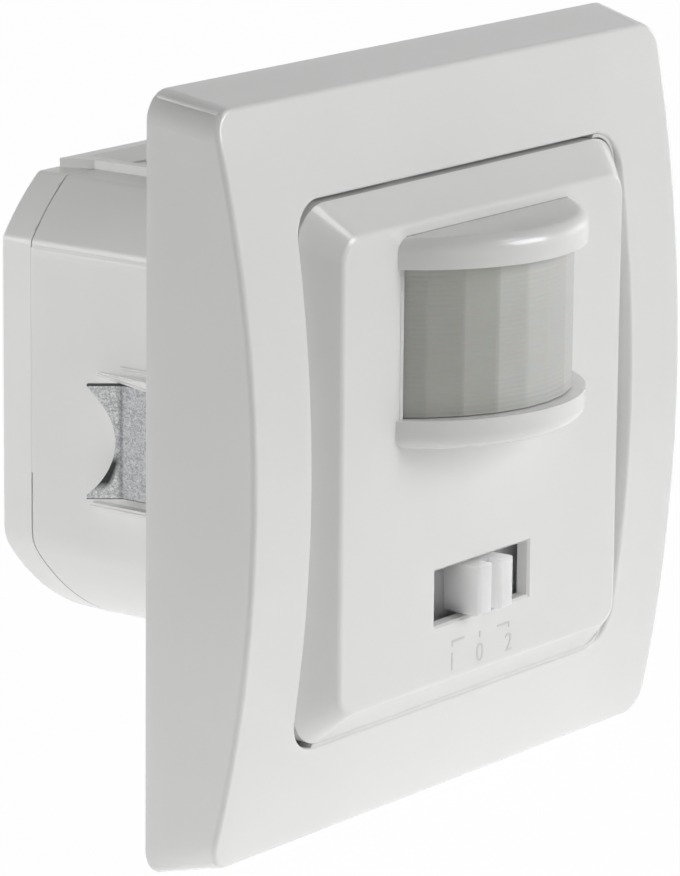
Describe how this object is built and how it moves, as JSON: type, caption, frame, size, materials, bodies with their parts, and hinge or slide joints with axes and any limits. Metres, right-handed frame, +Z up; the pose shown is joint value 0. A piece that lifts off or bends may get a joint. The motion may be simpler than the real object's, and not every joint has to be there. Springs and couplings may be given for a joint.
{
  "type": "motion sensor light switch",
  "caption": "Flush wall switch that senses motion: bowed square cover frame, centre cover with curved lens under a hood, slide switch, box housing with spreading claws and screw terminals.",
  "frame": {"origin": "middle of the mounting plate's back face, on the wall plane, at the centre of the box screws", "axes": "+X right as seen from the room, +Y back into the wall box, +Z up; the front faces -Y"},
  "size_m": [0.08, 0.0541, 0.08],
  "materials": {
    "white_plastic": "smooth glossy moulding",
    "housing_plastic": "smooth moulding",
    "lens_plastic": "milky ribbed sheet",
    "zinc_steel": "zinc plated sheet and screws",
    "brass_strip": "plain pressed brass",
    "circuit_board": "lacquered board",
    "relay_case": "moulded case",
    "capacitor_case": "dipped case",
    "can_sleeve": "shrunk sleeve",
    "varistor_coat": "dipped coat",
    "resistor_coat": "baked coat",
    "sensor_can": "drawn metal can",
    "sensor_glass": "dark filter window",
    "black_plastic": "moulded",
    "clear_plastic": "clear dome",
    "trimmer_plastic": "moulded"
  },
  "bodies": {
    "base": {"housing_body": "housing_plastic", "rear_cap": "housing_plastic", "mounting_plate": "zinc_steel", "carrier_frame": "housing_plastic", "carrier_screws": "zinc_steel", "main_board": "circuit_board", "relay": "relay_case", "film_capacitor": "capacitor_case", "smoothing_capacitor": "can_sleeve", "varistor": "varistor_coat", "fuse_resistor": "resistor_coat", "board_link_pins": "brass_strip", "front_board": "circuit_board", "pyro_sensor": "sensor_can", "pyro_window": "sensor_glass", "light_sensor": "clear_plastic", "control_chip": "black_plastic", "slide_switch_body": "black_plastic", "time_trimmer_body": "black_plastic", "light_trimmer_body": "black_plastic", "terminal_block": "housing_plastic", "terminal_lid": "housing_plastic", "terminal_bars": "brass_strip", "claw_pin_left": "zinc_steel", "claw_pin_right": "zinc_steel"},
    "frame": {"cover_frame": "white_plastic"},
    "cover": {"centre_cover": "white_plastic", "lens": "lens_plastic", "lens_retainer": "black_plastic"},
    "switch": {"switch_knob": "white_plastic", "switch_slider": "black_plastic"},
    "claw_left": {"claw_left": "zinc_steel"},
    "claw_right": {"claw_right": "zinc_steel"},
    "claw_screw_left": {"claw_screw_left": "zinc_steel"},
    "claw_screw_right": {"claw_screw_right": "zinc_steel"},
    "time_dial": {"time_dial": "trimmer_plastic"},
    "light_dial": {"light_dial": "trimmer_plastic"},
    "terminal_clamp_1": {"terminal_clamp_1": "brass_strip"},
    "terminal_screw_1": {"terminal_screw_1": "zinc_steel"},
    "terminal_clamp_2": {"terminal_clamp_2": "brass_strip"},
    "terminal_screw_2": {"terminal_screw_2": "zinc_steel"},
    "terminal_clamp_3": {"terminal_clamp_3": "brass_strip"},
    "terminal_screw_3": {"terminal_screw_3": "zinc_steel"}
  },
  "joints": [
    {"name": "frame_pull_off", "type": "slide", "parent": "base", "child": "frame", "axis": [0, -1, 0], "range_m": [0, 0.014]},
    {"name": "cover_pull_off", "type": "slide", "parent": "base", "child": "cover", "axis": [0, -1, 0], "range_m": [0, 0.016]},
    {"name": "switch_slide", "type": "slide", "parent": "base", "child": "switch", "axis": [1, 0, 0], "range_m": [-0.0029, 0.0029]},
    {"name": "claw_left_spread", "type": "hinge", "parent": "base", "child": "claw_left", "pos_m": [-0.0182, 0.0046, 0], "axis": [0, 0, 1], "range_deg": [0, 20]},
    {"name": "claw_screw_left_turn", "type": "hinge", "parent": "base", "child": "claw_screw_left", "pos_m": [-0.0216, 0, 0], "axis": [0, 1, 0], "range_deg": [0, 1620]},
    {"name": "claw_right_spread", "type": "hinge", "parent": "base", "child": "claw_right", "pos_m": [0.0182, 0.0046, 0], "axis": [0, 0, -1], "range_deg": [0, 20]},
    {"name": "claw_screw_right_turn", "type": "hinge", "parent": "base", "child": "claw_screw_right", "pos_m": [0.0216, 0, 0], "axis": [0, 1, 0], "range_deg": [0, 1620]},
    {"name": "terminal_clamp_1_lift", "type": "slide", "parent": "base", "child": "terminal_clamp_1", "axis": [0, 0, 1], "range_m": [0, 0.0024]},
    {"name": "terminal_screw_1_turn", "type": "hinge", "parent": "base", "child": "terminal_screw_1", "pos_m": [-0.0074, 0.0239, 0.022], "axis": [0, 0, -1], "range_deg": [0, 1440]},
    {"name": "terminal_clamp_2_lift", "type": "slide", "parent": "base", "child": "terminal_clamp_2", "axis": [0, 0, 1], "range_m": [0, 0.0024]},
    {"name": "terminal_screw_2_turn", "type": "hinge", "parent": "base", "child": "terminal_screw_2", "pos_m": [0, 0.0239, 0.022], "axis": [0, 0, -1], "range_deg": [0, 1440]},
    {"name": "terminal_clamp_3_lift", "type": "slide", "parent": "base", "child": "terminal_clamp_3", "axis": [0, 0, 1], "range_m": [0, 0.0024]},
    {"name": "terminal_screw_3_turn", "type": "hinge", "parent": "base", "child": "terminal_screw_3", "pos_m": [0.0074, 0.0239, 0.022], "axis": [0, 0, -1], "range_deg": [0, 1440]},
    {"name": "time_dial_turn", "type": "hinge", "parent": "base", "child": "time_dial", "pos_m": [-0.0116, -0.009, -0.0052], "axis": [0, 1, 0], "range_deg": [-135, 135]},
    {"name": "light_dial_turn", "type": "hinge", "parent": "base", "child": "light_dial", "pos_m": [0.0116, -0.009, -0.0052], "axis": [0, 1, 0], "range_deg": [-135, 135]}
  ],
  "couplings": [
    {"joint": "claw_screw_left_turn", "follows": "claw_left_spread", "ratio": 80.992},
    {"joint": "claw_screw_right_turn", "follows": "claw_right_spread", "ratio": 80.992},
    {"joint": "terminal_screw_1_turn", "follows": "terminal_clamp_1_lift", "rad_per_m": 10471},
    {"joint": "terminal_screw_2_turn", "follows": "terminal_clamp_2_lift", "rad_per_m": 10471},
    {"joint": "terminal_screw_3_turn", "follows": "terminal_clamp_3_lift", "rad_per_m": 10471}
  ]
}
